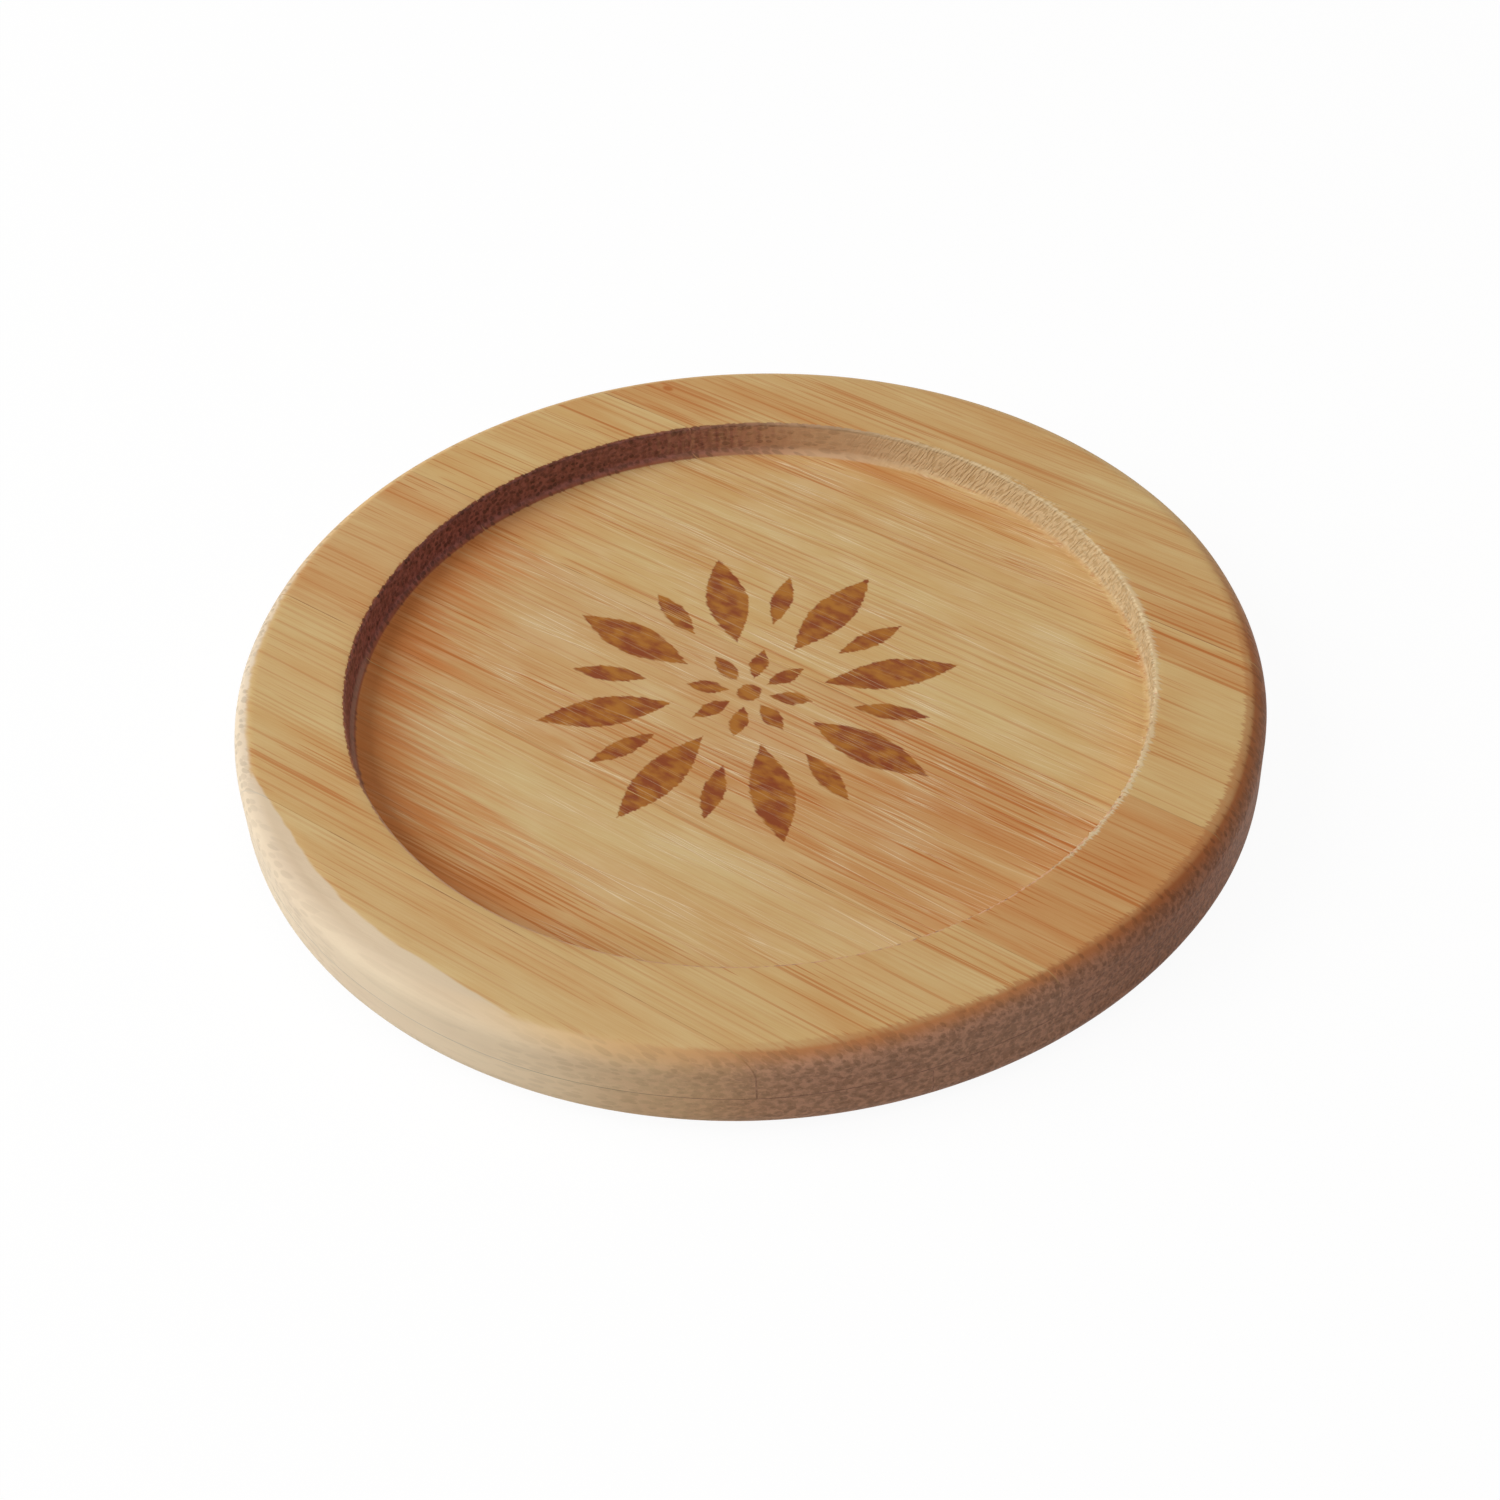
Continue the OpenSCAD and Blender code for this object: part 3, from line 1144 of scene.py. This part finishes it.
# Each strip's pale and deep tones, the strength of its streaks and its seed
CULMS = {
    "top_strip_1": ((0.58, 0.37, 0.155), (0.54, 0.29, 0.105), 1.0, 1.0),
    "top_strip_2": ((0.60, 0.405, 0.175), (0.56, 0.325, 0.12), 0.95, 22.0),
    "top_strip_3": ((0.57, 0.355, 0.155), (0.53, 0.275, 0.10), 1.0, 41.0),
    "top_strip_4": ((0.59, 0.395, 0.175), (0.55, 0.32, 0.12), 0.95, 63.0),
    "top_strip_5": ((0.60, 0.40, 0.18), (0.56, 0.33, 0.13), 0.9, 85.0),
    "base_strip_1": ((0.56, 0.36, 0.15), (0.49, 0.28, 0.11), 0.7, 107.0),
    "base_strip_2": ((0.54, 0.33, 0.14), (0.47, 0.26, 0.10), 0.8, 121.0),
    "base_strip_3": ((0.59, 0.39, 0.17), (0.53, 0.32, 0.13), 0.6, 143.0),
    "base_strip_4": ((0.57, 0.37, 0.16), (0.50, 0.29, 0.115), 0.7, 165.0),
    "base_strip_5": ((0.58, 0.38, 0.17), (0.51, 0.31, 0.13), 0.6, 187.0),
}
for node, (pale, deep, streaks, seed) in CULMS.items():
    pieces[node].data.materials.clear()
    pieces[node].data.materials.append(bamboo(node, pale, deep, streaks, seed))
print("Finished", len(CULMS), "strips")

# %% [markdown]
# Glue squeezed thin between two strips takes the tone of the wood beside it. Only where it is
# thicker does it show as a darker line, so its tone changes along the seam. On a wall it is a
# shade of the wall's own tone, with the same painted light and shade.

# %% Finish the glue
THIN_GLUE = (0.50, 0.30, 0.12)
THICK_GLUE = (0.30, 0.13, 0.055)
THICK_SHARE = 0.8
GLUE_ROUGHNESS = 0.6
GLUE_SHADES = {"ply_glue_layer": 0.6, "top_seam_glue": 0.85, "base_seam_glue": 0.85}


def glue(name, seed, shade):
    """Glue of a shade, from 0 to 1, times the tone of the wall that it comes out on."""
    finish, start, shader = new_finish(name)
    at = survey(start)
    squeeze = noise(at.place, 8.0, 8.0, seed, detail=3.0).step(0.46, 0.66)
    upright = wall_tone(at, seed)
    wall = at.slope.most(sanded_edge(at, seed))
    thin = wall.blend(THIN_GLUE, upright.shaded(shade ** 0.5))
    thick = wall.blend(THICK_GLUE, upright.shaded(shade))
    tone = (squeeze * THICK_SHARE).blend(thin, thick)
    start.tree.links.new(tone.socket, shader.inputs["Base Color"])
    shader.inputs["Roughness"].default_value = GLUE_ROUGHNESS
    shader.inputs["Specular IOR Level"].default_value = OIL_GLOSS
    return finish


for number, (node, shade) in enumerate(GLUE_SHADES.items()):
    pieces[node].data.materials.clear()
    pieces[node].data.materials.append(glue(node, 9.0 * number, shade))
print("Finished", len(GLUE_SHADES), "glue pieces")

# %% [markdown]
# The floor is plain and pale. The camera and every reflection see it almost white,
# with a trace of the coaster's shadow on it, while the light that it throws back on
# the coaster is that of an honest matt floor.

# %% Lay the floor
FLOOR_SIZE = 4
FLOOR_TONE = (0.70, 0.69, 0.67)
FLOOR_ROUGHNESS = 0.9
WHITE = (1, 1, 1, 1)
SHADOW_SHARE = 0.06


def to_white(start):
    """1 for a ray from the camera or off a gloss, which meets white, and 0 for other light."""
    rays = [start.node("ShaderNodeLightPath", outlet=f"Is {kind} Ray")
            for kind in ("Camera", "Glossy", "Transmission")]
    return rays[0].most(rays[1]).most(rays[2])


bpy.ops.object.select_all(action="DESELECT")
bpy.ops.mesh.primitive_plane_add(size=FLOOR_SIZE)
table_top = bpy.context.object
table_top.name = "table_top"
sheet, start, shader = new_finish("pale_table")
shader.inputs["Base Color"].default_value = (*FLOOR_TONE, 1)
shader.inputs["Roughness"].default_value = FLOOR_ROUGHNESS
glow = start.node("ShaderNodeEmission", None, {"Color": WHITE, "Strength": 1.0})
lit = start.node("ShaderNodeBsdfDiffuse", None, {"Color": WHITE})
white = start.node("ShaderNodeMixShader", None, {0: SHADOW_SHARE, 1: glow, 2: lit})
matt = Wire(start.tree, shader.outputs[0])
whole = start.node("ShaderNodeMixShader", None, {0: to_white(start), 1: matt, 2: white})
start.tree.links.new(whole.socket, start.tree.nodes["Material Output"].inputs["Surface"])
table_top.data.materials.append(sheet)
print("Table top", FLOOR_SIZE, "m wide")

# %% [markdown]
# Plain studio light: one big soft lamp low on the left, which picks out the edge of
# the recess, a weaker one overhead, and a little light from all round. The lamps are
# wide squares, because a small lamp would draw hard shadows that the photograph lacks.

# %% Light the coaster
ROOM_LIGHT = 0.16
WARM = (1, 0.94, 0.88)


def softbox(name, bearing, height, distance, width, watts, tint=WHITE[:3]):
    """A square lamp at a bearing from +X and a height above the table, both in degrees."""
    level = math.cos(math.radians(height))
    way = Vector((math.cos(math.radians(bearing)) * level,
                  math.sin(math.radians(bearing)) * level,
                  math.sin(math.radians(height))))
    lamp = bpy.data.lights.new(name, "AREA")
    lamp.size = width
    lamp.energy = watts
    lamp.color = tint
    holder = bpy.data.objects.new(name, lamp)
    bpy.context.scene.collection.objects.link(holder)
    holder.location = way * distance
    holder.rotation_euler = way.to_track_quat("Z", "Y").to_euler()
    return holder


softbox("key", bearing=226, height=38, distance=1.0, width=0.8, watts=8.5)
softbox("overhead", bearing=38, height=80, distance=1.2, width=1.0, watts=5.1, tint=WARM)
world = bpy.data.worlds.new("studio")
bpy.context.scene.world = world
world.use_nodes = True
backdrop = world.node_tree.nodes["Background"]
glow = ROOM_LIGHT + (1 - ROOM_LIGHT) * to_white(Wire(world.node_tree))
world.node_tree.links.new(glow.socket, backdrop.inputs["Strength"])
backdrop.inputs["Color"].default_value = WHITE

# %% [markdown]
# The camera stands where the photograph's stood: its lens, height and distance come
# from the outline of the disc and the edge of the recess, and it is rolled a little.

# %% Set up the camera
AZIMUTH = math.radians(38)
ELEVATION = 0.7591
DISTANCE = 256.28 * MM
ROLL = -0.0476
LENS_PIXELS = 2583.7
PICTURE_PIXELS = 1500
SENSOR_W = 36
CLIP_NEAR = 10 * MM
LOOK_AT = Vector((1.184, -1.794, 0)) * MM

camera = bpy.data.objects.new("camera", bpy.data.cameras.new("camera"))
bpy.context.scene.collection.objects.link(camera)
bpy.context.scene.camera = camera
camera.data.sensor_fit = "HORIZONTAL"
camera.data.sensor_width = SENSOR_W
camera.data.lens = SENSOR_W * LENS_PIXELS / PICTURE_PIXELS
camera.data.clip_start = CLIP_NEAR
back = Vector((math.sin(AZIMUTH) * math.cos(ELEVATION),
               -math.cos(AZIMUTH) * math.cos(ELEVATION),
               math.sin(ELEVATION)))
camera.location = LOOK_AT + back * DISTANCE
aim = back.to_track_quat("Z", "Y").to_matrix() @ Matrix.Rotation(ROLL, 3, "Z")
camera.rotation_euler = aim.to_euler()
bpy.context.scene.view_settings.view_transform = "Standard"
print("Lens", round(camera.data.lens, 2), "mm")
